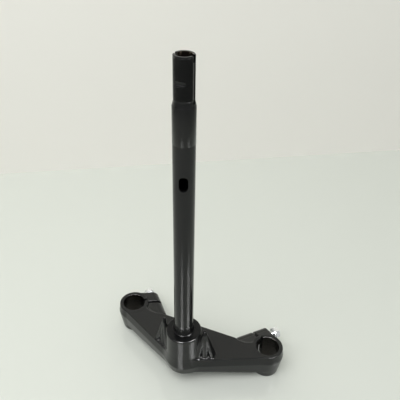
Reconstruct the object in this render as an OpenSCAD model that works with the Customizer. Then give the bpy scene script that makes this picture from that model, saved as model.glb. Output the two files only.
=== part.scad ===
// Lower triple clamp of a small motorcycle: a forged yoke with two split fork clamps, a long
// hollow steering stem, the crown race on the stem and one pinch bolt in each clamp.
// All lengths are millimetres. +Z runs up the steering axis, +Y is the front of the vehicle,
// and the origin is the centre of the stem's lower end, level with the feet of both clamps.

/* [Yoke] */
// Distance between the two fork axes
fork_spacing = 237.6; // [226:0.2:250]
// Distance from the steering axis forward to the line of the fork axes
fork_offset = 57.5; // [54:0.5:62]
// Thickness of the arms below their flat top
arm_t = 28; // [24:0.5:32]
// Distance from the steering axis to the rear wall of an arm
arm_rear = 24.6; // [23:0.2:26]
// Distance from a fork axis to the rear wall of the arm
arm_end_rear = 23; // [21:0.2:24]
// Half the width of the web's straight front edge
web_half_w = 62; // [54:0.5:66]
// How far the web reaches forward of the steering axis
web_reach = 67.5; // [62:0.5:72]
// Radius of the web's front corners in plan
web_corner_r = 6; // [3:0.5:9]
// Radius of the web's crown
crown_r = 72; // [66:0.5:80]
// Distance from the steering axis forward to the crown's axis
crown_y = 17; // [10:0.5:22]
// Distance forward at which the crown meets the flat top
crown_start = 25; // [23:0.5:30]
// Height of the forging's parting line above the base
parting_z = 34; // [30:0.5:38]
// Draft of the arms' rear walls, in degrees
draft = 8; // [4:0.5:10]
// Rounding of the forged edges
edge_r = 2.5; // [1:0.25:3.5]

/* [Fork clamps] */
// Diameter of the fork bores
fork_bore_d = 36; // [33:0.5:38]
// Height of the clamps
clamp_h = 48; // [44:0.5:54]
// Outer diameter of a clamp at its foot
clamp_foot_d = 41; // [40:0.5:44]
// Outer diameter of a clamp at the parting line
clamp_mid_d = 51.4; // [48:0.2:56]
// Outer diameter of a clamp at its top
clamp_top_d = 46.4; // [44:0.2:48]
// Bevel at both ends of the fork bores
bore_bevel = 0.8; // [0.4:0.1:1.2]
// Width of the clamp slits
slit_w = 3; // [2:0.25:4]
// Angle of the slits forward of the inward direction, in degrees
slit_turn = 43; // [38:1:45]
// Distance from a fork axis to its pinch bolt
bolt_reach = 36.5; // [34:0.5:38]
// Height of the pinch bolts above the base
bolt_z = 23; // [21:0.5:27]
// Radius of the rounded pinch lugs
lug_r = 13; // [12:0.5:14.5]
// Distance from the slit's middle to the outer face of a lug
lug_out = 25; // [21:0.5:26]
// Length of the lug's bar behind the slit's middle
lug_in = 30; // [27:0.5:31]
// Depth of the tapped hole behind the slit's middle
tap_depth = 22; // [18:0.5:25]

/* [Hub] */
// Outer diameter of the hub at its underside
hub_foot_d = 51; // [48:0.5:54]
// Outer diameter of the hub at the parting line
hub_mid_d = 56.4; // [54:0.2:60]
// Outer diameter of the hub at its top
hub_top_d = 53.4; // [50:0.2:56]
// Height of the hub above the arms' flat top
hub_rise = 45.5; // [40:0.2:52]
// Rounding of the hub's foot
hub_foot_r = 4; // [2:0.5:5]

/* [Stop gussets] */
// Distance from the mid plane to a gusset's tip
stop_tip_x = 33.5; // [30:0.5:38]
// Distance of the tip forward of the steering axis
stop_tip_y = 2; // [-2:0.5:6]
// Height of the tip above the arms' flat top
stop_rise = 50; // [40:0.5:56]
// Radius of the rounded tip
stop_tip_r = 2.4; // [1.5:0.1:3.5]
// Radius of each flute at its foot
flute_r = 6.6; // [5.5:0.1:8]
// Distance between the feet of the flutes along the arm
flute_pitch = 12.4; // [10:0.1:14]
// Number of flutes on a gusset
flute_n = 3; // [2:1:4]
// Distance from the mid plane to the foot of the first flute
flute_start = 23; // [20:0.5:28]
// Ledge left between the flutes' feet and the rear edge of the arm
flute_ledge = 4; // [2:0.25:7]

/* [Steering stem] */
// Length of the stem from its lower end to its top
stem_h = 514; // [440:1:560]
// Diameter of the plain tube
stem_d = 27; // [26:0.1:28]
// Diameter of the bore through the stem
stem_bore_d = 18.5; // [14:0.25:20]
// Diameter of the upper bearing's seat
seat_d = 27.4; // [26.4:0.1:28.4]
// Height at which the bearing seat starts
seat_z = 409; // [380:1:415]
// Height at which the bearing seat ends
seat_top_z = 456; // [430:1:460]
// Length of the cone above the bearing seat
seat_cone_h = 6.5; // [4:0.5:10]
// Outer diameter of the thread
thread_d = 25; // [24:0.25:26]
// Width of the slot across the stem's top
slot_w = 5.5; // [4:0.25:7]
// Depth of the slot across the stem's top
slot_depth = 8; // [6:0.5:11]
// Depth of the keyway along the thread
key_depth = 1.3; // [0.8:0.1:1.8]
// Height at which the keyway ends
key_foot_z = 460; // [458:1:480]
// Diameter of the notch for the handlebar bolt
notch_d = 9; // [7:0.25:11]
// Depth of the notch in the rear of the stem
notch_depth = 2.2; // [1.5:0.1:2.6]
// Height of the notch above the base
notch_z = 484.5; // [476:0.5:492]
// Width of the oval cable hole
oval_w = 11.5; // [8:0.5:13]
// Height of the oval cable hole
oval_h = 20.5; // [15:0.5:26]
// Height of the hole's middle above the base
oval_z = 359; // [300:1:370]
// Turn of the hole from the rear toward the right, in degrees
oval_turn = 21; // [0:1:45]
// Diameter of the stem's turned-down lower end
spigot_d = 21.5; // [20.5:0.25:24]
// Height of the turned-down lower end
spigot_h = 9; // [4:0.5:14]
// Bevels at the stem's lower end
stem_foot_bevel = 0.8; // [0.4:0.1:1]

/* [Crown race] */
// Outer diameter of the crown race
race_d = 33.8; // [32:0.1:36]
// Height of the crown race
race_h = 15; // [10:0.25:18]
// Height of the race's cylindrical rim
race_rim_h = 6.5; // [3:0.25:8]
// Width of the race's flat top
race_top_w = 0.8; // [0.5:0.1:1.5]

/* [Pinch bolts] */
// Diameter of a bolt's shank
bolt_d = 9.8; // [9:0.1:10.6]
// Length of a bolt below its head
bolt_l = 50; // [46:1:54]
// Width of the hexagon across its flats
hex_w = 17; // [14:0.5:18]
// Height of the hexagon
hex_h = 7.5; // [6:0.25:9]
// Gap left between the right lug and its washer
right_gap = 8.5; // [1:0.5:14]
// Gap left between the left lug and its washer
left_gap = 5.5; // [1:0.5:14]
// Thickness of a spring washer
washer_t = 2.5; // [1.6:0.1:3]
// Outer diameter of a spring washer
washer_d = 17.6; // [15:0.2:19]
// Gap in the ring of a spring washer
washer_gap = 2; // [1.2:0.1:3]

/* [Hidden] */

bolt_play = 0.2;   // radial play of a bolt in its hole and of a washer on it
over = 1;          // how far a cut runs past the face it opens
full = 96;         // steps in a full turn of a turned piece

fork_x = fork_spacing / 2;
arm_foot_z = clamp_h - arm_t;
hub_top_z = clamp_h + hub_rise;
crown_z = clamp_h - sqrt(pow(crown_r, 2) - pow(crown_start - crown_y, 2));
lug_key_h = 1.84 * lug_r;                 // height of the key that joins a lug to its clamp
arm_dir = [fork_x, fork_offset] / norm([fork_x, fork_offset]);
arm_side = [arm_dir.y, -arm_dir.x];       // points to the rear, square to the arm
rear_hub = arm_side * arm_rear;
rear_end = [fork_x, fork_offset] + arm_side * arm_end_rear;
rear_dir = (rear_end - rear_hub) / norm(rear_end - rear_hub);
tip = [stop_tip_x, stop_tip_y, clamp_h + stop_rise];
flute_sink = arm_t / 3;                   // how deep the flutes stand in the arm
stem_r = stem_d / 2;
bolt_r = bolt_d / 2;
shank_bevel = bolt_d / 8;
tip_ball = 1.1;                           // share by which the tip's ball covers the flutes' ends

// A vector scaled to length one
function unit(v) = v / norm(v);

// Arc that rounds the corner p between its neighbours a and b
function arc_at(a, p, b, r, steps) =
    let (u = unit(a - p), w = unit(b - p), half = acos(u * w) / 2,
         c = p + unit(u + w) * r / sin(half),
         s = p + u * r / tan(half) - c, e = p + w * r / tan(half) - c,
         from = atan2(s.y, s.x), raw = atan2(e.y, e.x) - from,
         turn = raw > 180 ? raw - 360 : raw < -180 ? raw + 360 : raw)
    [for (i = [0:steps]) c + r * [cos(from + turn * i / steps), sin(from + turn * i / steps)]];

// Outline with each corner rounded by its own radius, where that is not zero
function outline(points, radii, steps = 4) =
    [for (i = [0:len(points) - 1])
        let (n = len(points))
        each (radii[i] == 0 ? [points[i]]
            : arc_at(points[(i + n - 1) % n], points[i], points[(i + 1) % n], radii[i], steps))];

// Straight taper between two points
module taper(p, q, r_p, r_q) {
    v = q - p;
    translate(p)
        rotate([0, acos(v.z / norm(v)), atan2(v.y, v.x)])
            cylinder(h = norm(v), r1 = r_p, r2 = r_q, $fn = full);
}

// Puts a clamp's own parts at the right fork axis, with X along the slit and Y toward the bolt's head
module at_clamp() {
    translate([fork_x, fork_offset, 0])
        mirror([1, 0, 0])
            rotate([0, 0, slit_turn])
                children();
}

// Where the slit's middle plane meets the bolt's axis, in plan
function bolt_point() = [fork_x - bolt_reach * cos(slit_turn), fork_offset + bolt_reach * sin(slit_turn)];

// Plan of one arm and its half of the web
function half_plan() = concat([[0, web_reach]],
    arc_at([0, web_reach], [web_half_w, web_reach], bolt_point(), web_corner_r, 6),
    [bolt_point(), [fork_x, fork_offset], rear_end, rear_hub, [0, 0]]);

// Wedge that takes the draft off a rear wall, above or below the parting line
module draft_wedge(up) {
    turn = atan2(rear_dir.y, rear_dir.x);
    translate([rear_hub.x, rear_hub.y, parting_z])
        rotate([0, 0, turn])
            rotate([up * draft, 0, 0])
                translate([-clamp_h, -clamp_h, up > 0 ? 0 : -clamp_h])
                    cube([2 * fork_spacing, clamp_h, clamp_h]);
}

// One arm with its half of the crowned web
module half_web() {
    difference() {
        intersection() {
            translate([0, 0, arm_foot_z])
                linear_extrude(arm_t)
                    polygon(half_plan());
            union() {
                translate([-over, -fork_spacing, 0])
                    cube([fork_spacing, fork_spacing + crown_y, 2 * clamp_h]);
                translate([-over, crown_y, crown_z])
                    rotate([0, 90, 0])
                        cylinder(h = fork_spacing, r = crown_r, $fn = full);
            }
        }
        draft_wedge(1);
        draft_wedge(-1);
    }
}

// Body of a split clamp
module clamp_boss() {
    translate([fork_x, fork_offset, 0])
        rotate_extrude($fn = full)
            polygon(outline(
                [[0, 0], [clamp_foot_d / 2, 0], [clamp_mid_d / 2, parting_z], [clamp_top_d / 2, clamp_h],
                    [0, clamp_h]],
                [0, edge_r, edge_r, edge_r / 2, 0]));
}

// Round-nosed lug that the pinch bolt passes through
module pinch_lug() {
    at_clamp() {
        translate([bolt_reach, -lug_in, bolt_z])
            rotate([-90, 0, 0])
                cylinder(h = lug_in + lug_out, r = lug_r, $fn = full);
        translate([fork_bore_d / 2, -lug_in, bolt_z - lug_key_h / 2])
            cube([bolt_reach - fork_bore_d / 2, lug_in + lug_out, lug_key_h]);
    }
}

// Fluted steering stop: tapers that rise from the arm and meet in one tip
module stop_gusset() {
    along = unit([fork_x, fork_offset]);
    back = arm_rear - flute_ledge - flute_r;
    for (i = [0:flute_n - 1]) {
        foot = along * (flute_start + i * flute_pitch) + arm_side * back;
        taper([foot.x, foot.y, clamp_h - flute_sink], tip, flute_r, stop_tip_r);
    }
    translate(tip)
        sphere(r = stop_tip_r * tip_ball, $fn = full);
}

// Turned body of the hub
module hub() {
    rotate_extrude($fn = full)
        polygon(outline(
            [[0, arm_foot_z], [hub_foot_d / 2, arm_foot_z], [hub_mid_d / 2, parting_z],
                [hub_top_d / 2, hub_top_z], [0, hub_top_z]],
            [0, hub_foot_r, edge_r, edge_r, 0]));
}

// Fork bore with bevelled ends, slit, bolt hole and tapped hole of one clamp
module clamp_cuts() {
    bore_r = fork_bore_d / 2;
    translate([fork_x, fork_offset, 0]) {
        translate([0, 0, -over])
            cylinder(h = clamp_h + 2 * over, d = fork_bore_d, $fn = full);
        translate([0, 0, clamp_h - bore_bevel])
            cylinder(h = 2 * bore_bevel, r1 = bore_r, r2 = bore_r + 2 * bore_bevel, $fn = full);
        translate([0, 0, -bore_bevel])
            cylinder(h = 2 * bore_bevel, r1 = bore_r + 2 * bore_bevel, r2 = bore_r, $fn = full);
    }
    at_clamp() {
        translate([0, -slit_w / 2, -over])
            cube([bolt_reach + 2 * lug_r, slit_w, clamp_h + 2 * over]);
        translate([bolt_reach, 0, bolt_z])
            rotate([-90, 0, 0])
                cylinder(h = lug_out + over, r = bolt_r + bolt_play, $fn = full);
        translate([bolt_reach, -tap_depth, bolt_z])
            rotate([-90, 0, 0])
                cylinder(h = tap_depth + over, r = bolt_r, $fn = full);
    }
}

module yoke() {
    color("#242526")
        difference() {
            union() {
                hub();
                for (side = [0, 1])
                    mirror([side, 0, 0]) {
                        half_web();
                        clamp_boss();
                        pinch_lug();
                        stop_gusset();
                    }
            }
            translate([0, 0, arm_foot_z - over])
                cylinder(h = hub_top_z - arm_foot_z + 2 * over, r = stem_r, $fn = full);
            for (side = [0, 1])
                mirror([side, 0, 0])
                    clamp_cuts();
        }
}

module steering_stem() {
    thread_r = thread_d / 2;
    thread_z = seat_top_z + seat_cone_h;
    color("#1c1d1f")
        difference() {
            rotate_extrude($fn = full)
                polygon([
                    [stem_bore_d / 2, 0], [spigot_d / 2 - stem_foot_bevel, 0], [spigot_d / 2, stem_foot_bevel],
                    [spigot_d / 2, spigot_h], [stem_r - stem_foot_bevel, spigot_h],
                    [stem_r, spigot_h + stem_foot_bevel],
                    [stem_r, seat_z], [seat_d / 2, seat_z], [seat_d / 2, seat_top_z],
                    [thread_r, thread_z], [thread_r, stem_h], [stem_bore_d / 2, stem_h]]);
            translate([-stem_d, -slot_w / 2, stem_h - slot_depth])
                cube([2 * stem_d, slot_w, slot_depth + over]);
            translate([thread_r - key_depth, -slot_w / 2, key_foot_z])
                cube([stem_d, slot_w, stem_h]);
            translate([-stem_d, -thread_r + notch_depth - notch_d / 2, notch_z])
                rotate([0, 90, 0])
                    cylinder(h = 2 * stem_d, d = notch_d, $fn = full);
            rotate([0, 0, oval_turn])
                for (end = [-1, 1])
                    translate([0, 0, oval_z + end * (oval_h - oval_w) / 2])
                        rotate([90, 0, 0])
                            cylinder(h = stem_d, d = oval_w, $fn = full);
            rotate([0, 0, oval_turn])
                translate([-oval_w / 2, -stem_d, oval_z - (oval_h - oval_w) / 2])
                    cube([oval_w, stem_d, oval_h - oval_w]);
        }
}

// Ring pressed on the stem, with a hollow raceway for the lower bearing's balls
module crown_race() {
    top_r = stem_r + race_top_w;
    out_r = race_d / 2;
    drop = race_h - race_rim_h;
    hollow = [for (i = [0:8]) [out_r - (out_r - top_r) * sin(i * 90 / 8), race_rim_h + drop * (1 - cos(i * 90 / 8))]];
    color("#17181a")
        translate([0, 0, hub_top_z])
            rotate_extrude($fn = full)
                polygon(concat([[stem_r, 0], [out_r, 0]], hollow, [[stem_r, race_h]]));
}

// Hexagon bolt, its shank pointing down from the origin
module hex_bolt() {
    corner_r = hex_w / sqrt(3);
    intersection() {
        cylinder(h = hex_h, r = corner_r, $fn = 6);
        cylinder(h = hex_h, r1 = corner_r + hex_h, r2 = hex_w / 2, $fn = full);
    }
    translate([0, 0, shank_bevel - bolt_l])
        cylinder(h = bolt_l - shank_bevel, r = bolt_r, $fn = full);
    translate([0, 0, -bolt_l])
        cylinder(h = shank_bevel, r1 = bolt_r - shank_bevel, r2 = bolt_r, $fn = full);
}

// Split ring under a bolt's head
module spring_washer() {
    difference() {
        cylinder(h = washer_t, d = washer_d, $fn = full);
        translate([0, 0, -over])
            cylinder(h = washer_t + 2 * over, r = bolt_r + bolt_play, $fn = full);
        translate([0, -washer_gap / 2, -over])
            cube([washer_d, washer_gap, washer_t + 2 * over]);
    }
}

// Puts a turned piece on the right clamp's bolt axis, a gap away from the lug
module on_bolt(gap) {
    at_clamp()
        translate([bolt_reach, lug_out + gap, bolt_z])
            rotate([-90, 0, 0])
                children();
}

module pinch_bolt_right() {
    color("#dcdfe0")
        on_bolt(right_gap + washer_t)
            hex_bolt();
}

module spring_washer_right() {
    color("#b9bdbf")
        on_bolt(right_gap)
            spring_washer();
}

module pinch_bolt_left() {
    color("#dcdfe0")
        mirror([1, 0, 0])
            on_bolt(left_gap + washer_t)
                hex_bolt();
}

module spring_washer_left() {
    color("#b9bdbf")
        mirror([1, 0, 0])
            on_bolt(left_gap)
                spring_washer();
}

yoke();
steering_stem();
crown_race();
pinch_bolt_left();
pinch_bolt_right();
spring_washer_left();
spring_washer_right();
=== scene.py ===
import math

import bmesh
import bpy
import numpy as np
from mathutils import Matrix, Vector


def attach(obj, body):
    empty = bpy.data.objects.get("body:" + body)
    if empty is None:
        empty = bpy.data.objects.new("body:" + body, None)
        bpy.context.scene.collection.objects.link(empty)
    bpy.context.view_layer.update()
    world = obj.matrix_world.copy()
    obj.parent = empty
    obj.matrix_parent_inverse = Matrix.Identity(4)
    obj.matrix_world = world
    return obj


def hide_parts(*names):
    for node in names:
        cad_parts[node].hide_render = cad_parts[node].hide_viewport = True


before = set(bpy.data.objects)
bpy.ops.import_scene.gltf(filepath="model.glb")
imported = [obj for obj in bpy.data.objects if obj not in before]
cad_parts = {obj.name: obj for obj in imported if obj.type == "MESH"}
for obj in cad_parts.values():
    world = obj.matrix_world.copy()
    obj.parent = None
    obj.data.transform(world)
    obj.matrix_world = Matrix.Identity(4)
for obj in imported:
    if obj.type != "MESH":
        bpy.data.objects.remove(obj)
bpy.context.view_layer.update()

mm = 0.001  # sizes below are millimetres, the scene is metres


# Nodes and materials

def newMaterial(name, settings):
    material = bpy.data.materials.new(name)
    material.use_nodes = True
    shader = material.node_tree.nodes["Principled BSDF"]
    for key, value in settings.items():
        shader.inputs[key].default_value = value
    return material, material.node_tree, shader


def addNode(tree, kind, **settings):
    node = tree.nodes.new(kind)
    for key, value in settings.items():
        setattr(node, key, value)
    return node


def link(tree, start, end):
    tree.links.new(start, end)


def objectNoise(tree, scale, detail=4.0, rough=0.5, stretch=(1, 1, 1)):
    place = addNode(tree, "ShaderNodeTexCoord")
    mapping = addNode(tree, "ShaderNodeMapping")
    mapping.inputs["Scale"].default_value = stretch
    link(tree, place.outputs["Object"], mapping.inputs["Vector"])
    noise = addNode(tree, "ShaderNodeTexNoise")
    noise.inputs["Scale"].default_value = scale
    noise.inputs["Detail"].default_value = detail
    noise.inputs["Roughness"].default_value = rough
    link(tree, mapping.outputs["Vector"], noise.inputs["Vector"])
    return noise.outputs["Fac"]


def ramp(tree, source, low, high, colorLow, colorHigh):
    node = addNode(tree, "ShaderNodeValToRGB")
    node.color_ramp.elements[0].position = low
    node.color_ramp.elements[1].position = high
    node.color_ramp.elements[0].color = colorLow
    node.color_ramp.elements[1].color = colorHigh
    link(tree, source, node.inputs["Fac"])
    return node.outputs["Color"]


def rangeOf(tree, source, fromLow, fromHigh, toLow, toHigh):
    node = addNode(tree, "ShaderNodeMapRange")
    for key, value in zip(("From Min", "From Max", "To Min", "To Max"), (fromLow, fromHigh, toLow, toHigh)):
        node.inputs[key].default_value = value
    link(tree, source, node.inputs["Value"])
    return node.outputs["Result"]


def bump(tree, shader, heights):
    last = None
    for source, strength, distance in heights:
        node = addNode(tree, "ShaderNodeBump")
        node.inputs["Strength"].default_value = strength
        node.inputs["Distance"].default_value = distance
        link(tree, source, node.inputs["Height"])
        if last is not None:
            link(tree, last, node.inputs["Normal"])
        last = node.outputs["Normal"]
    link(tree, last, shader.inputs["Normal"])


def alongAxis(tree, axis):
    place = addNode(tree, "ShaderNodeTexCoord")
    split = addNode(tree, "ShaderNodeSeparateXYZ")
    link(tree, place.outputs["Object"], split.inputs["Vector"])
    return split.outputs[axis]


def heightAlong(tree, low, high):
    return rangeOf(tree, alongAxis(tree, "Z"), low * mm, high * mm, 0, 1)


def subtract(tree, a, b):
    node = addNode(tree, "ShaderNodeMath", operation="SUBTRACT")
    link(tree, a, node.inputs[0])
    link(tree, b, node.inputs[1])
    return node.outputs[0]


def blendOf(tree, share, a, b):
    node = addNode(tree, "ShaderNodeMix")
    node.data_type = "FLOAT"
    link(tree, share, node.inputs["Factor"])
    link(tree, a, node.inputs[2])
    if isinstance(b, (int, float)):
        node.inputs[3].default_value = b
    else:
        link(tree, b, node.inputs[3])
    return node.outputs[0]


forgingPaintValues = {
    "color": (0.0060, 0.0062, 0.0064, 1),
    "colorWorn": (0.0090, 0.0091, 0.0092, 1),
    "roughLow": 0.17,
    "roughHigh": 0.26,
    "turnedRough": 0.11,         # the turned top of the hub is smoother and duller than the forged skin
    "turnedGloss": 0.22,
    "turnedFrom": 92.9,
    "castScale": 115,
    "castHeight": 0.00035,
    "peelScale": 900,
    "boreColor": (0.075, 0.069, 0.064, 1),   # the fork bores are darkened bare metal with fine turning marks
    "boreRough": 0.24,
    "boreMarks": 0.0004,
    "forkX": 118.8,
    "forkY": 57.5,
    "boreRadius": 18.05,
    "paintedGlintPlace": (104.0, 67.7),             # painted highlight: a near-white strip on the right bore's wall that stands in for a lamp glint
    "paintedGlintFrom": 12.0,
    "paintedGlintTo": 33.0,
    "paintedGlintHalf": 2.3,
    "paintedGlintColor": (0.95, 0.95, 0.94, 1),
}


def nearAxis(tree, x, y, radius):
    # one inside the radius around an upright axis and its mirror image, nought outside
    place = addNode(tree, "ShaderNodeTexCoord")
    split = addNode(tree, "ShaderNodeSeparateXYZ")
    link(tree, place.outputs["Object"], split.inputs["Vector"])
    aside = addNode(tree, "ShaderNodeMath", operation="ABSOLUTE")
    link(tree, split.outputs["X"], aside.inputs[0])
    flat = addNode(tree, "ShaderNodeCombineXYZ")
    link(tree, aside.outputs[0], flat.inputs["X"])
    link(tree, split.outputs["Y"], flat.inputs["Y"])
    gap = addNode(tree, "ShaderNodeVectorMath", operation="DISTANCE")
    link(tree, flat.outputs["Vector"], gap.inputs[0])
    gap.inputs[1].default_value = (x * mm, y * mm, 0)
    return rangeOf(tree, gap.outputs["Value"], radius * mm, (radius + 0.1) * mm, 1, 0)


def product(tree, a, b):
    node = addNode(tree, "ShaderNodeMath", operation="MULTIPLY")
    link(tree, a, node.inputs[0])
    link(tree, b, node.inputs[1])
    return node.outputs[0]


def mixColor(tree, share, a, b):
    node = addNode(tree, "ShaderNodeMix")
    node.data_type = "RGBA"
    link(tree, share, node.inputs["Factor"])
    link(tree, a, node.inputs[6])
    node.inputs[7].default_value = b
    return node.outputs[2]


def forgingPaint(values):
    material, tree, shader = newMaterial("blackForgingPaint", {"IOR": 1.42})
    cloud = objectNoise(tree, 28, 5, 0.6)
    paint = ramp(tree, cloud, 0.35, 0.7, values["color"], values["colorWorn"])
    bare = nearAxis(tree, values["forkX"], values["forkY"], values["boreRadius"])
    rightSide = rangeOf(tree, alongAxis(tree, "X"), 0, 1 * mm, 0, 1)
    # painted highlight: a near-white, non-metallic strip on the right bore's wall stands in for a lamp glint
    paintedGlint = product(tree, nearAxis(tree, *values["paintedGlintPlace"], values["paintedGlintHalf"]), rightSide)
    paintedGlint = product(tree, paintedGlint, heightAlong(tree, values["paintedGlintFrom"], values["paintedGlintFrom"] + 2))
    paintedGlint = product(tree, paintedGlint, rangeOf(tree, alongAxis(tree, "Z"), values["paintedGlintTo"] * mm, (values["paintedGlintTo"] + 2) * mm, 1, 0))
    paintedGlint = product(tree, paintedGlint, bare)
    inside = mixColor(tree, bare, paint, values["boreColor"])
    link(tree, mixColor(tree, paintedGlint, inside, values["paintedGlintColor"]), shader.inputs["Base Color"])
    link(tree, rangeOf(tree, subtract(tree, bare, paintedGlint), 0, 1, 0, 1), shader.inputs["Metallic"])
    skin = rangeOf(tree, objectNoise(tree, 60, 4, 0.6), 0.3, 0.7, values["roughLow"], values["roughHigh"])
    turned = heightAlong(tree, values["turnedFrom"], values["turnedFrom"] + 0.2)
    painted = blendOf(tree, turned, skin, values["turnedRough"])
    link(tree, rangeOf(tree, turned, 0, 1, 0.5, values["turnedGloss"]), shader.inputs["Specular IOR Level"])
    link(tree, blendOf(tree, bare, painted, values["boreRough"]), shader.inputs["Roughness"])
    marks = addNode(tree, "ShaderNodeMath", operation="MULTIPLY")
    link(tree, bare, marks.inputs[0])
    link(tree, objectNoise(tree, 40, 2, 0.5, (0.05, 0.05, 30)), marks.inputs[1])
    bump(tree, shader, [
        (marks.outputs[0], 1.0, values["boreMarks"]),
        (objectNoise(tree, values["castScale"], 3, 0.5), 0.15, values["castHeight"]),
        (objectNoise(tree, values["peelScale"], 2, 0.5), 0.06, 0.0001)])
    return material


stemPaintValues = {
    "tubeColor": (0.0070, 0.0072, 0.0076, 1),
    "seatColor": (0.0045, 0.0046, 0.0048, 1),
    "seatFrom": 408.6,
    "tubeRough": 0.15,
    "seatRough": 0.20,
    "roughSpread": 0.04,
    "boreColor": (0.11, 0.09, 0.07, 1),      # bare metal inside the tube
    "boreRadius": 9.6,
}


def stemPaint(values):
    material, tree, shader = newMaterial("blackStemPaint", {"IOR": 1.38})
    upper = heightAlong(tree, values["seatFrom"], values["seatFrom"] + 0.4)
    paint = ramp(tree, upper, 0, 1, values["tubeColor"], values["seatColor"])
    bare = nearAxis(tree, 0, 0, values["boreRadius"])
    link(tree, mixColor(tree, bare, paint, values["boreColor"]), shader.inputs["Base Color"])
    link(tree, bare, shader.inputs["Metallic"])
    spread = rangeOf(tree, objectNoise(tree, 50, 4, 0.6, (1, 1, 0.25)), 0.3, 0.7,
                     values["tubeRough"] - values["roughSpread"], values["tubeRough"] + values["roughSpread"])
    link(tree, blendOf(tree, upper, spread, values["seatRough"]), shader.inputs["Roughness"])
    bump(tree, shader, [
        (objectNoise(tree, 45, 3, 0.5, (1, 1, 12)), 0.06, 0.0001),
        (objectNoise(tree, 800, 2, 0.5), 0.05, 0.0001)])
    return material


def racePaint():
    material, tree, shader = newMaterial("raceBlack", {"IOR": 1.32, "Base Color": (0.004, 0.004, 0.0044, 1)})
    link(tree, rangeOf(tree, objectNoise(tree, 90, 3, 0.5), 0.3, 0.7, 0.22, 0.30), shader.inputs["Roughness"])
    bump(tree, shader, [(objectNoise(tree, 60, 2, 0.5, (1, 1, 20)), 0.04, 0.0001)])
    return material


def zincPlate(name, color, roughLow, roughHigh):
    material, tree, shader = newMaterial(name, {"Metallic": 1.0})
    mottle = objectNoise(tree, 260, 5, 0.6)
    pale = tuple(min(1.0, c * 1.06) for c in color[:3]) + (1,)
    link(tree, ramp(tree, mottle, 0.35, 0.7, color, pale), shader.inputs["Base Color"])
    link(tree, rangeOf(tree, objectNoise(tree, 420, 3, 0.5), 0.3, 0.7, roughLow, roughHigh), shader.inputs["Roughness"])
    bump(tree, shader, [(objectNoise(tree, 1500, 3, 0.6), 0.12, 0.00008)])
    return material


materials = {
    "yoke": forgingPaint(forgingPaintValues),
    "stem": stemPaint(stemPaintValues),
    "race": racePaint(),
    "bolts": zincPlate("brightZinc", (0.90, 0.91, 0.92, 1), 0.18, 0.30),
    "washers": zincPlate("dullZinc", (0.52, 0.53, 0.54, 1), 0.34, 0.48),
}
print("materials made")


# The forged yoke, as a distance field that blends its parts

def softMin(a, b, width):
    h = np.clip(0.5 + 0.5 * (b - a) / width, 0, 1)
    return b + (a - b) * h - width * h * (1 - h)


def softMax(a, b, width):
    return -softMin(-a, -b, width)


def insetOutline(points, amount):
    pts = np.array(points, float)
    area = 0.5 * np.sum(pts[:, 0] * np.roll(pts[:, 1], -1) - np.roll(pts[:, 0], -1) * pts[:, 1])
    if area < 0:
        pts = pts[::-1]
    moved = []
    count = len(pts)
    for i in range(count):
        before, here, after = pts[i - 1], pts[i], pts[(i + 1) % count]
        u = (here - before) / np.linalg.norm(here - before)
        w = (after - here) / np.linalg.norm(after - here)
        nu, nw = np.array([-u[1], u[0]]), np.array([-w[1], w[0]])
        half = nu + nw
        moved.append(here + half * amount / max(0.25, 1 + nu @ nw))
    return np.array(moved)


def outlineDistance(x, y, points):
    pts = np.asarray(points, np.float32)
    best = np.full(x.shape, 1e12, np.float32)
    inside = np.zeros(x.shape, bool)
    for i in range(len(pts)):
        a, b = pts[i - 1], pts[i]
        ex, ey = b - a
        wx, wy = x - a[0], y - a[1]
        t = np.clip((wx * ex + wy * ey) / (ex * ex + ey * ey), 0, 1)
        best = np.minimum(best, (wx - ex * t) ** 2 + (wy - ey * t) ** 2)
        crosses = (a[1] > y) != (b[1] > y)
        if ey != 0:
            inside ^= crosses & (x < a[0] + ex * (y - a[1]) / ey)
    return np.where(inside, -1, 1) * np.sqrt(best)


def roundedOutline(x, y, points, radius):
    return outlineDistance(x, y, insetOutline(points, radius)) - radius


def taperDistance(x, y, z, a, b, ra, rb):
    a, b = np.array(a, float), np.array(b, float)
    ba = b - a
    l2 = float(ba @ ba)
    rr = ra - rb
    a2 = l2 - rr * rr
    il2 = 1 / l2
    px, py, pz = x - a[0], y - a[1], z - a[2]
    along = px * ba[0] + py * ba[1] + pz * ba[2]
    past = along - l2
    x2 = (px * l2 - ba[0] * along) ** 2 + (py * l2 - ba[1] * along) ** 2 + (pz * l2 - ba[2] * along) ** 2
    y2, z2 = along * along * l2, past * past * l2
    k = math.copysign(1, rr) * rr * rr * x2
    top = np.sqrt(x2 + z2) * il2 - rb
    low = np.sqrt(x2 + y2) * il2 - ra
    side = (np.sqrt(x2 * a2 * il2) + along * rr) * il2 - ra
    return np.where(np.sign(past) * a2 * z2 > k, top, np.where(np.sign(along) * a2 * y2 < k, low, side))


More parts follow.
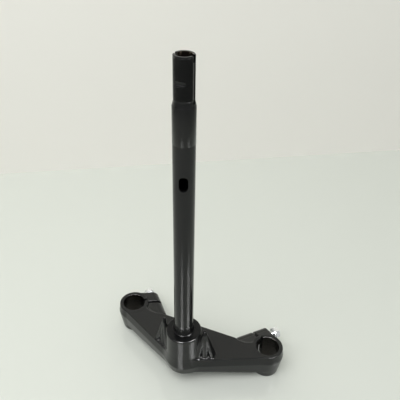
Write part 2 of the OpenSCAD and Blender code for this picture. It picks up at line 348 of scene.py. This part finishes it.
yokeValues = {
    "forkX": 118.8, "forkY": 57.5, "topZ": 48.0, "armFootZ": 20.0, "partingZ": 34.0,
    "armRear": 24.6, "armEndRear": 25.0, "armDrop": 7.5, "draft": 7.0, "edge": 2.6, "clampEdge": 0.5, "webEdge": 0.3,
    "webHalfWidth": 62.0, "webReach": 67.5,
    "browX": [66, 74, 84, 100, 120], "browY": [53.2, 50.6, 50.6, 57.6, 66.0],
    "fallMiddle": 60.0, "fallSide": 54.0, "fallFrom": 52.0, "fallTo": 76.0,
    "hubProfile": [(0, 20), (24.6, 20), (28.3, 34), (27.6, 48), (26.8, 93.5), (0, 93.5)],
    "clampProfile": [(0, 0), (20.4, 0), (23.6, 18), (25.9, 34), (23.8, 48), (0, 48)],
    "lugReach": 36.5, "lugRadius": 13.0, "lugOut": 25.0, "lugIn": 30.0, "boltZ": 23.0, "slitTurn": 43.0,
    "lugFall": 16.0,
    "slitWidth": 4.2, "forkBore": 18.0, "stemBore": 13.45, "boltHole": 5.1,
    "stopFeet": [(23.2, -5.6), (34.7, 1.0), (46.5, 6.2)], "stopTip": (33.5, 2.0, 98.0),
    "stopFootRadius": 6.5, "stopTipRadius": 2.5,
    "stopSide": (50.5, 36.2),
    "step": 1.05,
}


def yokeDistance(x, y, z, v):
    x = np.abs(x)
    radius = np.hypot(x, y)
    forkX, forkY = v["forkX"], v["forkY"]
    armDir = np.array([forkX, forkY]) / math.hypot(forkX, forkY)
    armSide = np.array([armDir[1], -armDir[0]])
    rearHub = armSide * v["armRear"]
    rearEnd = np.array([forkX, forkY]) + armSide * v["armEndRear"]
    turn = math.radians(v["slitTurn"])
    lugPoint = (forkX - v["lugReach"] * math.cos(turn), forkY + v["lugReach"] * math.sin(turn))
    right = [(v["webHalfWidth"], v["webReach"]), lugPoint, (forkX, forkY), tuple(rearEnd), tuple(rearHub)]
    plan = right + [(-px, py) for px, py in right[::-1]]
    lean = math.tan(math.radians(v["draft"])) * np.abs(z - v["partingZ"])
    rearWall = -((x - rearHub[0]) * (-armSide[0]) + (y - rearHub[1]) * (-armSide[1])) + lean
    inPlan = np.maximum(roundedOutline(x, y, plan, 5.0), rearWall)
    # the web's top is flat up to the brow, then falls to the front, less steeply beside the clamps
    brow = np.interp(x, v["browX"], v["browY"])
    side = np.clip((x - v["fallFrom"]) / (v["fallTo"] - v["fallFrom"]), 0, 1)
    fall = np.radians(v["fallMiddle"] + (v["fallSide"] - v["fallMiddle"]) * side)
    top = softMax(z - v["topZ"], (z - v["topZ"]) * np.cos(fall) + (y - brow) * np.sin(fall), 1.4)
    armFoot = v["armFootZ"] - v["armDrop"] * np.clip((x - 25) / 80, 0, 1)
    slab = softMax(top, armFoot - z, 1.0)
    web = softMax(inPlan, slab, v["webEdge"])
    body = web

    hub = roundedOutline(radius, z, v["hubProfile"], v["edge"])
    body = softMin(body, hub, 7.0)

    cx, cy = x - forkX, y - forkY
    clampRadius = np.hypot(cx, cy)
    clamp = roundedOutline(clampRadius, z, v["clampProfile"], v["clampEdge"])
    body = softMin(body, clamp, 1.6)

    reach = -cx * math.cos(turn) + cy * math.sin(turn)   # along the slit, away from the bore
    across = cx * math.sin(turn) + cy * math.cos(turn)   # along the bolt, toward its head
    nose = np.hypot(reach - v["lugReach"], z - v["boltZ"]) - v["lugRadius"]
    lugFall = math.radians(v["lugFall"])
    lugTop = (z - v["boltZ"]) * math.cos(lugFall) + (reach - v["lugReach"]) * math.sin(lugFall) - v["lugRadius"]
    key = np.maximum(np.maximum(v["boltZ"] - z - v["lugRadius"], reach - v["lugReach"]), 12 - reach)
    key = np.maximum(key, np.maximum(lugTop, z - v["topZ"]))
    ends = np.maximum(across - v["lugOut"], -across - v["lugIn"])
    lug = softMax(np.minimum(nose, key), ends, 3.0)
    body = softMin(body, lug, 2.0)

    stop = None
    for foot in v["stopFeet"]:
        lobe = taperDistance(x, y, z, (foot[0], foot[1], v["topZ"] - 3), v["stopTip"],
                             v["stopFootRadius"], v["stopTipRadius"])
        stop = lobe if stop is None else softMin(stop, lobe, 0.8)
    sideLow, sideHigh = v["stopSide"]         # each stop has a flat outer side that leans inward
    lean = math.atan2(sideLow - sideHigh, v["stopTip"][2] - 45)
    stop = softMax(stop, (x - sideLow) * math.cos(lean) + (z - 45) * math.sin(lean), 0.4)
    body = softMin(body, stop, 2.0)

    bore = clampRadius - v["forkBore"]
    bevel = 0.4
    bore = np.minimum(bore, clampRadius - v["forkBore"] - bevel + np.minimum(np.abs(z - v["topZ"]), np.abs(z)))
    slit = np.maximum(np.abs(across) - v["slitWidth"] / 2, -reach)
    hole = np.maximum(np.hypot(reach - v["lugReach"], z - v["boltZ"]) - v["boltHole"], -across)
    cuts = np.minimum(np.minimum(bore, slit), np.minimum(hole, radius - v["stemBore"]))
    return softMax(body, -cuts, 0.8)


def meshFromField(name, low, high, step, distance):
    halfX = np.arange(0, high[0] + step, step, np.float32) + np.float32(step / 2)
    ys = np.arange(low[1], high[1] + step, step, np.float32)
    zs = np.arange(low[2], high[2] + step, step, np.float32)
    half = np.empty((len(halfX), len(ys), len(zs)), np.float32)
    for i in range(0, len(halfX), 16):
        gx, gy, gz = np.meshgrid(halfX[i:i + 16], ys, zs, indexing="ij")
        half[i:i + 16] = distance(gx, gy, gz)
    xs = np.concatenate([-halfX[::-1], halfX])
    field = np.concatenate([half[::-1], half], 0)
    nx, ny, nz = field.shape
    solid = field < 0
    corners = np.zeros((nx - 1, ny - 1, nz - 1), np.int8)
    for dx in (0, 1):
        for dy in (0, 1):
            for dz in (0, 1):
                corners += solid[dx:nx - 1 + dx, dy:ny - 1 + dy, dz:nz - 1 + dz]
    mixed = (corners > 0) & (corners < 8)
    cells = np.argwhere(mixed)
    index = np.full(mixed.shape, -1, np.int64)
    index[mixed] = np.arange(len(cells))
    total = np.zeros((len(cells), 3))
    hits = np.zeros(len(cells))
    for axis in range(3):
        others = [k for k in range(3) if k != axis]
        for o1 in (0, 1):
            for o2 in (0, 1):
                start = cells.copy()
                start[:, others[0]] += o1
                start[:, others[1]] += o2
                end = start.copy()
                end[:, axis] += 1
                a = field[tuple(start.T)]
                b = field[tuple(end.T)]
                cross = (a < 0) != (b < 0)
                t = np.where(cross, a / np.where(cross, a - b, 1), 0)
                point = start.astype(float)
                point[:, axis] += t
                total[cross] += point[cross]
                hits += cross
    local = total / hits[:, None]
    verts = np.stack([xs[0] + local[:, 0] * step, ys[0] + local[:, 1] * step, zs[0] + local[:, 2] * step], 1)
    quads = []
    for axis in range(3):
        u, w = [(1, 2), (2, 0), (0, 1)][axis]
        a = np.moveaxis(solid, axis, 0)[:-1]
        b = np.moveaxis(solid, axis, 0)[1:]
        change = np.moveaxis(a != b, 0, axis)
        rising = np.moveaxis(a & ~b, 0, axis)
        edges = np.argwhere(change)
        edges = edges[(edges[:, u] > 0) & (edges[:, w] > 0)]
        corner = []
        for du, dw in ((-1, -1), (0, -1), (0, 0), (-1, 0)):
            c = edges.copy()
            c[:, u] += du
            c[:, w] += dw
            corner.append(index[tuple(c.T)])
        quad = np.stack(corner, 1)
        flip = ~rising[tuple(edges.T)]
        quad[flip] = quad[flip][:, ::-1]
        quads.append(quad)
    quads = np.concatenate(quads)
    small = 0.05
    for _ in range(3):
        x, y, z = verts.T.astype(np.float64)
        d = distance(x, y, z)
        g = np.stack([distance(x + small, y, z) - distance(x - small, y, z),
                      distance(x, y + small, z) - distance(x, y - small, z),
                      distance(x, y, z + small) - distance(x, y, z - small)], 1) / (2 * small)
        size = np.maximum(np.sum(g * g, 1), 0.2)
        move = -g * (d / size)[:, None]
        length = np.linalg.norm(move, axis=1)
        move *= np.minimum(1, 0.35 * step / np.maximum(length, 1e-9))[:, None]
        verts += move
    mesh = bpy.data.meshes.new(name)
    mesh.from_pydata((verts * mm).tolist(), [], quads.tolist())
    mesh.validate()
    mesh.update()
    return mesh


def showPiece(name, mesh, material, slot, *nodes):
    piece = bpy.data.objects.new(name, mesh)
    bpy.context.scene.collection.objects.link(piece)
    mesh.materials.clear()
    mesh.materials.append(material)
    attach(piece, "root")
    if nodes:
        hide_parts(*nodes)
    return piece


def smoothByAngle(mesh, degrees):
    mesh.polygons.foreach_set("use_smooth", [True] * len(mesh.polygons))
    mesh.set_sharp_from_angle(angle=math.radians(degrees))


yokeMesh = meshFromField("forgedYoke", (0, -32, -3), (148, 118, 104), yokeValues["step"],
                         lambda x, y, z: yokeDistance(x, y, z, yokeValues))
smoothByAngle(yokeMesh, 55)
showPiece("forgedYoke", yokeMesh, materials["yoke"], "yoke", "yoke")
print("yoke made,", len(yokeMesh.polygons), "faces")


# Turned pieces, cuts and threads

def turnedMesh(name, profile, turns=144):
    # profile is a closed outline of (radius, height), both in millimetres
    verts = []
    for k in range(turns):
        angle = 2 * math.pi * k / turns
        verts += [(r * math.cos(angle) * mm, r * math.sin(angle) * mm, z * mm) for r, z in profile]
    count = len(profile)
    faces = []
    for k in range(turns):
        after = (k + 1) % turns
        for i in range(count):
            j = (i + 1) % count
            faces.append((k * count + i, after * count + i, after * count + j, k * count + j))
    mesh = bpy.data.meshes.new(name)
    mesh.from_pydata(verts, [], faces)
    tidy = bmesh.new()
    tidy.from_mesh(mesh)
    bmesh.ops.remove_doubles(tidy, verts=tidy.verts, dist=0.001 * mm)
    bmesh.ops.recalc_face_normals(tidy, faces=tidy.faces)
    tidy.to_mesh(mesh)
    tidy.free()
    return mesh


def blockMesh(low, high):
    block = bmesh.new()
    bmesh.ops.create_cube(block, size=1)
    for vert in block.verts:
        vert.co = [(low[i] if vert.co[i] < 0 else high[i]) * mm for i in range(3)]
    mesh = bpy.data.meshes.new("block")
    block.to_mesh(mesh)
    block.free()
    return mesh


def barMesh(outline, start, end):
    # a bar along X with an outline of (y, z) points
    count = len(outline)
    verts = [(start * mm, y * mm, z * mm) for y, z in outline] + [(end * mm, y * mm, z * mm) for y, z in outline]
    faces = [tuple(range(count))[::-1], tuple(range(count, 2 * count))]
    faces += [(i, (i + 1) % count, (i + 1) % count + count, i + count) for i in range(count)]
    mesh = bpy.data.meshes.new("bar")
    mesh.from_pydata(verts, [], faces)
    tidy = bmesh.new()
    tidy.from_mesh(mesh)
    bmesh.ops.recalc_face_normals(tidy, faces=tidy.faces)
    tidy.to_mesh(mesh)
    tidy.free()
    return mesh


def evaluated(holder):
    graph = bpy.context.evaluated_depsgraph_get()
    mesh = bpy.data.meshes.new_from_object(holder.evaluated_get(graph))
    holder.modifiers.clear()
    bpy.data.objects.remove(holder)
    return mesh


def cutBy(mesh, cutters, operation="DIFFERENCE"):
    for cutter in cutters:
        holder = bpy.data.objects.new("holder", mesh)
        tool = bpy.data.objects.new("tool", cutter)
        bpy.context.scene.collection.objects.link(holder)
        bpy.context.scene.collection.objects.link(tool)
        cut = holder.modifiers.new("cut", "BOOLEAN")
        cut.operation = operation
        cut.solver = "EXACT"
        cut.object = tool
        mesh = evaluated(holder)
        bpy.data.objects.remove(tool)
    return mesh


def joined(name, meshes):
    whole = bmesh.new()
    for mesh in meshes:
        whole.from_mesh(mesh)
    result = bpy.data.meshes.new(name)
    whole.to_mesh(result)
    whole.free()
    return result


def threadTree():
    tree = bpy.data.node_groups.new("threadTurns", "GeometryNodeTree")
    tree.is_modifier = True
    inputs = {}
    for name, kind in (("Turns", "NodeSocketFloat"), ("Pitch", "NodeSocketFloat"), ("Crest Radius", "NodeSocketFloat"),
                       ("Depth", "NodeSocketFloat"), ("Foot", "NodeSocketFloat"), ("Material", "NodeSocketMaterial")):
        inputs[name] = tree.interface.new_socket(name=name, in_out="INPUT", socket_type=kind).identifier
    tree.interface.new_socket(name="Geometry", in_out="OUTPUT", socket_type="NodeSocketGeometry")
    source = addNode(tree, "NodeGroupInput")
    result = addNode(tree, "NodeGroupOutput")

    def calculate(operation, a, b):
        node = addNode(tree, "ShaderNodeMath", operation=operation)
        for slot, value in ((0, a), (1, b)):
            if isinstance(value, (int, float)):
                node.inputs[slot].default_value = value
            else:
                link(tree, value, node.inputs[slot])
        return node.outputs[0]

    root = calculate("MULTIPLY", source.outputs["Depth"], -1.0)
    helix = addNode(tree, "GeometryNodeCurveSpiral")
    helix.inputs["Resolution"].default_value = 64
    helix.inputs["Reverse"].default_value = True      # a right-hand thread
    link(tree, source.outputs["Turns"], helix.inputs["Rotations"])
    link(tree, source.outputs["Crest Radius"], helix.inputs["Start Radius"])
    link(tree, source.outputs["Crest Radius"], helix.inputs["End Radius"])
    link(tree, calculate("MULTIPLY", source.outputs["Turns"], source.outputs["Pitch"]), helix.inputs["Height"])
    upright = addNode(tree, "GeometryNodeSetCurveNormal")
    upright.mode = "Z_UP"
    link(tree, helix.outputs["Curve"], upright.inputs["Curve"])
    ridge = addNode(tree, "GeometryNodeCurvePrimitiveQuadrilateral", mode="POINTS")
    for i, (across, up) in enumerate(((root, -0.47), (0.0, -0.07), (0.0, 0.07), (root, 0.47))):
        corner = addNode(tree, "ShaderNodeCombineXYZ")
        if not isinstance(across, float):
            link(tree, across, corner.inputs["X"])
        link(tree, calculate("MULTIPLY", source.outputs["Pitch"], up), corner.inputs["Y"])
        link(tree, corner.outputs["Vector"], ridge.inputs["Point " + str(i + 1)])
    sweep = addNode(tree, "GeometryNodeCurveToMesh")
    sweep.inputs["Fill Caps"].default_value = True
    link(tree, upright.outputs["Curve"], sweep.inputs["Curve"])
    link(tree, ridge.outputs["Curve"], sweep.inputs["Profile Curve"])
    lift = addNode(tree, "GeometryNodeTransform")
    foot = addNode(tree, "ShaderNodeCombineXYZ")
    link(tree, source.outputs["Foot"], foot.inputs["Z"])
    link(tree, foot.outputs["Vector"], lift.inputs["Translation"])
    link(tree, sweep.outputs["Mesh"], lift.inputs["Geometry"])
    real = addNode(tree, "GeometryNodeRealizeInstances")
    paint = addNode(tree, "GeometryNodeSetMaterial")
    link(tree, lift.outputs["Geometry"], real.inputs["Geometry"])
    link(tree, real.outputs["Geometry"], paint.inputs["Geometry"])
    link(tree, source.outputs["Material"], paint.inputs["Material"])
    link(tree, paint.outputs["Geometry"], result.inputs["Geometry"])
    return tree, inputs


threads, threadInputs = threadTree()


def threadMesh(crest, pitch, depth, foot, top, material):
    holder = bpy.data.objects.new("threadHolder", bpy.data.meshes.new("threadHolder"))
    bpy.context.scene.collection.objects.link(holder)
    turns = (top - foot) / pitch
    modifier = holder.modifiers.new("turns", "NODES")
    modifier.node_group = threads
    for name, value in (("Turns", turns), ("Pitch", pitch * mm), ("Crest Radius", crest * mm),
                        ("Depth", depth * mm), ("Foot", foot * mm), ("Material", material)):
        modifier[threadInputs[name]] = value
    return evaluated(holder)


# The steering stem

stemValues = {
    "height": 514.0, "tube": 14.1, "socket": 13.5, "socketTop": 108.0, "bore": 9.25, "seat": 14.2, "seatLow": 409.0, "seatHigh": 456.0, "cone": 6.5,
    "thread": 12.5, "pitch": 1.0, "threadDepth": 0.58, "threadEnd": 1.6, "topBevel": 0.8, "boreBevel": 0.5,
    "slotWidth": 5.5, "slotDepth": 8.0, "keyDepth": 1.3, "keyFoot": 460.0,
    "notch": 9.0, "notchDepth": 2.2, "notchZ": 484.5,
    "ovalWidth": 11.5, "ovalHeight": 20.5, "ovalZ": 359.0, "ovalTurn": 21.0,
    "spigot": 10.75, "spigotHeight": 9.0, "footBevel": 0.8, "edge": 0.25,
}


def stemProfile(v):
    coneTop = v["seatHigh"] + v["cone"]
    root = v["thread"] - v["threadDepth"] + 0.03
    return [
        (v["bore"], v["footBevel"] / 2), (v["bore"] + v["footBevel"] / 2, 0), (v["spigot"] - v["footBevel"], 0),
        (v["spigot"], v["footBevel"]), (v["spigot"], v["spigotHeight"]),
        (v["socket"] - v["footBevel"], v["spigotHeight"]), (v["socket"], v["spigotHeight"] + v["footBevel"]),
        (v["socket"], v["socketTop"]), (v["tube"], v["socketTop"] + 0.8),
        (v["tube"], v["seatLow"]), (v["seat"] - v["edge"] / 2, v["seatLow"]), (v["seat"], v["seatLow"] + v["edge"]),
        (v["seat"], v["seatHigh"] - v["edge"]), (v["seat"] - v["edge"] / 2, v["seatHigh"] + v["edge"] / 2),
        (v["thread"], coneTop), (v["thread"], coneTop + 0.6), (root, coneTop + 1.2),
        (root, v["height"] - v["threadEnd"] - v["topBevel"]), (v["thread"], v["height"] - v["threadEnd"]),
        (v["thread"], v["height"] - v["topBevel"]), (v["thread"] - v["topBevel"], v["height"]),
        (v["bore"] + v["boreBevel"], v["height"]), (v["bore"], v["height"] - v["boreBevel"])]


def roundBar(y, z, diameter, start, end, sides=64):
    outline = [(y + diameter / 2 * math.cos(2 * math.pi * k / sides), z + diameter / 2 * math.sin(2 * math.pi * k / sides))
               for k in range(sides)]
    return barMesh(outline, start, end)


def ovalCutter(v):
    outline = []
    half = (v["ovalHeight"] - v["ovalWidth"]) / 2
    for end, first in ((1, 0), (-1, 180)):
        for k in range(25):
            angle = math.radians(first + 180 * k / 24)
            outline.append((v["ovalWidth"] / 2 * math.cos(angle),
                            v["ovalZ"] + end * half + v["ovalWidth"] / 2 * math.sin(angle)))
    mesh = barMesh(outline, 0, 30)
    mesh.transform(Matrix.Rotation(math.radians(v["ovalTurn"] - 90), 4, "Z"))
    return mesh


def topCutters(v):
    half = v["slotWidth"] / 2
    notchY = -v["thread"] + v["notchDepth"] - v["notch"] / 2
    return [blockMesh((-30, -half, v["height"] - v["slotDepth"]), (30, half, v["height"] + 2)),
            blockMesh((v["thread"] - v["keyDepth"], -half, v["keyFoot"]), (30, half, v["height"] + 3)),
            roundBar(notchY, v["notchZ"], v["notch"], -30, 30)]


def makeStem(v):
    tube = cutBy(turnedMesh("stemTube", stemProfile(v)), topCutters(v) + [ovalCutter(v)])
    coneTop = v["seatHigh"] + v["cone"]
    turns = threadMesh(v["thread"], v["pitch"], v["threadDepth"] + 0.1, coneTop + 1.4,
                       v["height"] - v["threadEnd"] - v["topBevel"] - 0.4, materials["stem"])
    turns = cutBy(turns, topCutters(v))
    smoothByAngle(tube, 32)
    smoothByAngle(turns, 25)
    showPiece("steeringStemTube", tube, materials["stem"], "stem", "steering_stem")
    showPiece("stemThread", turns, materials["stem"], "stem", "steering_stem")
    return len(tube.polygons), len(turns.polygons)


print("stem made, faces", makeStem(stemValues))


# The crown race

raceValues = {"inner": 13.5, "outer": 16.9, "foot": 93.5, "rim": 1.6, "height": 15.0, "top": 0.8, "edge": 0.25}


def makeRace(v):
    edge, foot = v["edge"], v["foot"]
    topRadius = v["inner"] + v["top"]
    profile = [(v["inner"], foot), (v["outer"] - edge, foot), (v["outer"], foot + edge),
               (v["outer"], foot + v["rim"] - edge), (v["outer"] - edge, foot + v["rim"])]
    for i in range(1, 13):
        angle = math.radians(90 * i / 12)
        profile.append((v["outer"] - edge - (v["outer"] - edge - topRadius) * math.sin(angle),
                        foot + v["rim"] + (v["height"] - v["rim"] - edge) * (1 - math.cos(angle))))
    profile += [(topRadius - edge, foot + v["height"]), (v["inner"], foot + v["height"])]
    mesh = turnedMesh("crownRaceRing", profile)
    smoothByAngle(mesh, 32)
    showPiece("crownRaceRing", mesh, materials["race"], "race", "crown_race")


makeRace(raceValues)
print("race made")


# Pinch bolts and spring washers

boltValues = {
    "shank": 4.9, "length": 50.0, "hexWidth": 17.0, "hexHeight": 7.5, "collarHeight": 0.5, "chamfer": 0.9,
    "threadLength": 34.0, "pitch": 1.5, "threadDepth": 0.85, "endBevel": 1.2,
    "rightGap": 8.5, "leftGap": 5.5,
    "washer": 8.8, "washerBore": 5.1, "washerThick": 2.5, "washerGap": 2.0, "washerTwist": 0.5,
}


def clampAxes(side, v):
    turn = math.radians(v["slitTurn"])
    slitway = Vector((-side * math.cos(turn), math.sin(turn), 0))
    boltway = Vector((side * math.sin(turn), math.cos(turn), 0))
    return Vector((side * v["forkX"], v["forkY"], 0)), slitway, boltway


def boltPlace(side, away, v):
    fork, slitway, boltway = clampAxes(side, v)
    origin = (fork + slitway * v["lugReach"] + boltway * (v["lugOut"] + away) + Vector((0, 0, v["boltZ"]))) * mm
    turn = Matrix((slitway, boltway.cross(slitway), boltway)).transposed().to_4x4()
    return Matrix.Translation(origin) @ turn


def hexHead(v):
    corner = v["hexWidth"] / math.sqrt(3)
    outline = [(corner * math.cos(math.radians(60 * k)), corner * math.sin(math.radians(60 * k))) for k in range(6)]
    prism = barMesh(outline, 0, v["hexHeight"])
    prism.transform(Matrix(((0, 1, 0, 0), (0, 0, 1, 0), (1, 0, 0, 0), (0, 0, 0, 1))))
    flat = v["hexWidth"] / 2
    rim = corner + 0.3
    round_ = turnedMesh("round", [
        (0, 0), (flat - 0.5, 0), (flat - 0.5, v["collarHeight"]), (flat + 0.2, v["collarHeight"]),
        (rim, v["collarHeight"] + 0.35), (rim, v["hexHeight"] - v["chamfer"] - 0.2),
        (flat - 0.6, v["hexHeight"]), (flat - 1.6, v["hexHeight"]), (flat - 1.9, v["hexHeight"] - 0.25),
        (0, v["hexHeight"] - 0.25)], 96)
    return cutBy(prism, [round_], "INTERSECT")


def makeBolt(name, side, gap, node, v, clamp):
    root = v["shank"] - v["threadDepth"] + 0.03
    threadTop = v["threadLength"] - v["length"]
    shank = turnedMesh("shank", [
        (0, 0.2), (v["shank"], 0.2), (v["shank"], threadTop + 0.8), (root, threadTop),
        (root, v["endBevel"] - v["length"]), (root - v["endBevel"], -v["length"]), (0, -v["length"])], 64)
    turns = threadMesh(v["shank"], v["pitch"], v["threadDepth"] + 0.1, 1.6 - v["length"], threadTop, materials["bolts"])
    mesh = joined(name, [hexHead(v), shank, turns])
    mesh.transform(boltPlace(side, gap + v["washerThick"], clamp))
    smoothByAngle(mesh, 30)
    showPiece(name, mesh, materials["bolts"], "bolts", node)


def makeWasher(name, side, gap, node, v, clamp):
    # split ring whose two ends stand a little apart
    inner, outer, thick, edge = v["washerBore"], v["washer"], v["washerThick"], 0.3
    section = [(inner + edge, 0), (outer - edge, 0), (outer, edge), (outer, thick - edge),
               (outer - edge, thick), (inner + edge, thick), (inner, thick - edge), (inner, edge)]
    open_ = v["washerGap"] / (inner + outer)
    steps = 96
    verts, faces = [], []
    for k in range(steps + 1):
        share = k / steps
        angle = open_ + (2 * math.pi - 2 * open_) * share
        rise = v["washerTwist"] * (share - 0.5)
        verts += [(r * math.cos(angle) * mm, r * math.sin(angle) * mm, (z + rise) * mm) for r, z in section]
    count = len(section)
    for k in range(steps):
        for i in range(count):
            j = (i + 1) % count
            faces.append((k * count + i, (k + 1) * count + i, (k + 1) * count + j, k * count + j))
    faces += [tuple(range(count))[::-1], tuple(range(steps * count, (steps + 1) * count))]
    mesh = bpy.data.meshes.new(name)
    mesh.from_pydata(verts, [], faces)
    tidy = bmesh.new()
    tidy.from_mesh(mesh)
    bmesh.ops.recalc_face_normals(tidy, faces=tidy.faces)
    tidy.to_mesh(mesh)
    tidy.free()
    mesh.transform(boltPlace(side, gap, clamp))
    smoothByAngle(mesh, 30)
    showPiece(name, mesh, materials["washers"], "washers", node)


for sideName, side in (("Right", 1), ("Left", -1)):
    gap = boltValues[sideName.lower() + "Gap"]
    makeBolt("pinchBolt" + sideName, side, gap, "pinch_bolt_" + sideName.lower(), boltValues, yokeValues)
    makeWasher("springWasher" + sideName, side, gap, "spring_washer_" + sideName.lower(), boltValues, yokeValues)
print("bolts and washers made")


# Camera

cameraValues = {
    "place": (0.2169, -0.4858, 0.6904),
    "forward": (-0.3084, 0.7673, -0.5623),
    "roll": 1.31,
    "lens": 46.23,
}


def addCamera(values):
    forward = Vector(values["forward"]).normalized()
    right = forward.cross(Vector((0, 0, 1))).normalized()
    up = right.cross(forward)
    roll = math.radians(values["roll"])
    rolledRight = right * math.cos(roll) + up * math.sin(roll)
    rolledUp = -right * math.sin(roll) + up * math.cos(roll)
    data = bpy.data.cameras.new("photoCamera")
    data.lens = values["lens"]
    data.sensor_width = 36
    data.clip_start, data.clip_end = 0.01, 50
    camera = bpy.data.objects.new("photoCamera", data)
    bpy.context.scene.collection.objects.link(camera)
    turn = Matrix((rolledRight, rolledUp, -forward)).transposed().to_4x4()
    camera.matrix_world = Matrix.Translation(values["place"]) @ turn
    bpy.context.scene.camera = camera


addCamera(cameraValues)


# Stage and light

stageValues = {
    "floorColor": (0.736, 0.765, 0.71, 1),
    "floorRough": 0.06,
    "wallColor": (0.88, 0.865, 0.81, 1),
    "wallRough": 0.8,
    "lineStart": (-0.6718, 0.3558),
    "lineEnd": (0.2582, 0.9214),
}


def openBehind(tree, shader):
    # the wall's back is clear, so the part can be seen from behind it too; its face stays solid
    geometry = tree.nodes.new("ShaderNodeNewGeometry")
    clear = tree.nodes.new("ShaderNodeBsdfTransparent")
    mix = tree.nodes.new("ShaderNodeMixShader")
    tree.links.new(geometry.outputs["Backfacing"], mix.inputs[0])
    tree.links.new(shader.outputs["BSDF"], mix.inputs[1])
    tree.links.new(clear.outputs["BSDF"], mix.inputs[2])
    tree.links.new(mix.outputs["Shader"], tree.nodes["Material Output"].inputs["Surface"])


def addStage(values):
    start, end = Vector(values["lineStart"]), Vector(values["lineEnd"])
    along = (end - start).normalized()
    away = Vector((-along.y, along.x))
    middle = start + along * (end - start).length / 2
    left, right = middle - along * 6, middle + along * 6
    near, far = away * -6, away * 6
    floorMesh = bpy.data.meshes.new("table")
    corners = [left + far, right + far, right + near, left + near]
    floorMesh.from_pydata([(c.x, c.y, -0.0002) for c in corners], [], [(3, 2, 1, 0)])
    wallMesh = bpy.data.meshes.new("wall")
    wallMesh.from_pydata([(left.x, left.y, -0.0002), (right.x, right.y, -0.0002),
                          (right.x, right.y, 5), (left.x, left.y, 5)], [], [(0, 1, 2, 3)])
    for name, mesh, color, rough in (("table", floorMesh, values["floorColor"], values["floorRough"]),
                                     ("wall", wallMesh, values["wallColor"], values["wallRough"])):
        material, tree, shader = newMaterial(name + "Stage", {"Base Color": color, "Roughness": rough})
        mesh.materials.append(material)
        if name == "wall":
            openBehind(tree, shader)
        stageObject = bpy.data.objects.new(name, mesh)
        bpy.context.scene.collection.objects.link(stageObject)


def addLight(name, azimuth, height, distance, size, strength, onlyGloss=False, noGloss=False, color=(1, 1, 1)):
    # azimuth is measured from the camera's side, to the right in the picture; height is in degrees above the table
    toCamera = math.atan2(cameraValues["place"][1], cameraValues["place"][0])
    turn = toCamera + math.radians(azimuth)
    lift = math.radians(height)
    away = Vector((math.cos(turn) * math.cos(lift), math.sin(turn) * math.cos(lift), math.sin(lift)))
    data = bpy.data.lights.new(name, "AREA")
    data.shape = "RECTANGLE"
    data.size, data.size_y = size
    data.energy = strength * size[0] * size[1] * math.pi     # strength is the brightness of the lamp's face
    data.color = color
    light = bpy.data.objects.new(name, data)
    bpy.context.scene.collection.objects.link(light)
    light.location = away * distance
    light.rotation_euler = (-away).to_track_quat("-Z", "Y").to_euler()
    if onlyGloss:
        light.visible_diffuse = False
    if noGloss:
        light.visible_glossy = False


lampValues = {
    "lampLeft": {"azimuth": -21, "height": 46, "distance": 1.8, "size": (0.62, 0.6), "strength": 48, "onlyGloss": True},
    "lampRight": {"azimuth": 54, "height": 46, "distance": 1.8, "size": (0.62, 0.6), "strength": 48, "onlyGloss": True},
    "ceiling": {"azimuth": -36, "height": 62, "distance": 2.4, "size": (2.4, 2.4), "strength": 2.2, "noGloss": True},
}

addStage(stageValues)
for name, values in lampValues.items():
    addLight(name, **values)
world = bpy.data.worlds.new("roomLight")
bpy.context.scene.world = world
world.use_nodes = True
world.node_tree.nodes["Background"].inputs["Color"].default_value = (0.93, 0.95, 0.94, 1)
world.node_tree.nodes["Background"].inputs["Strength"].default_value = 0.45
bpy.context.scene.view_settings.view_transform = "Standard"
print("stage and light made")
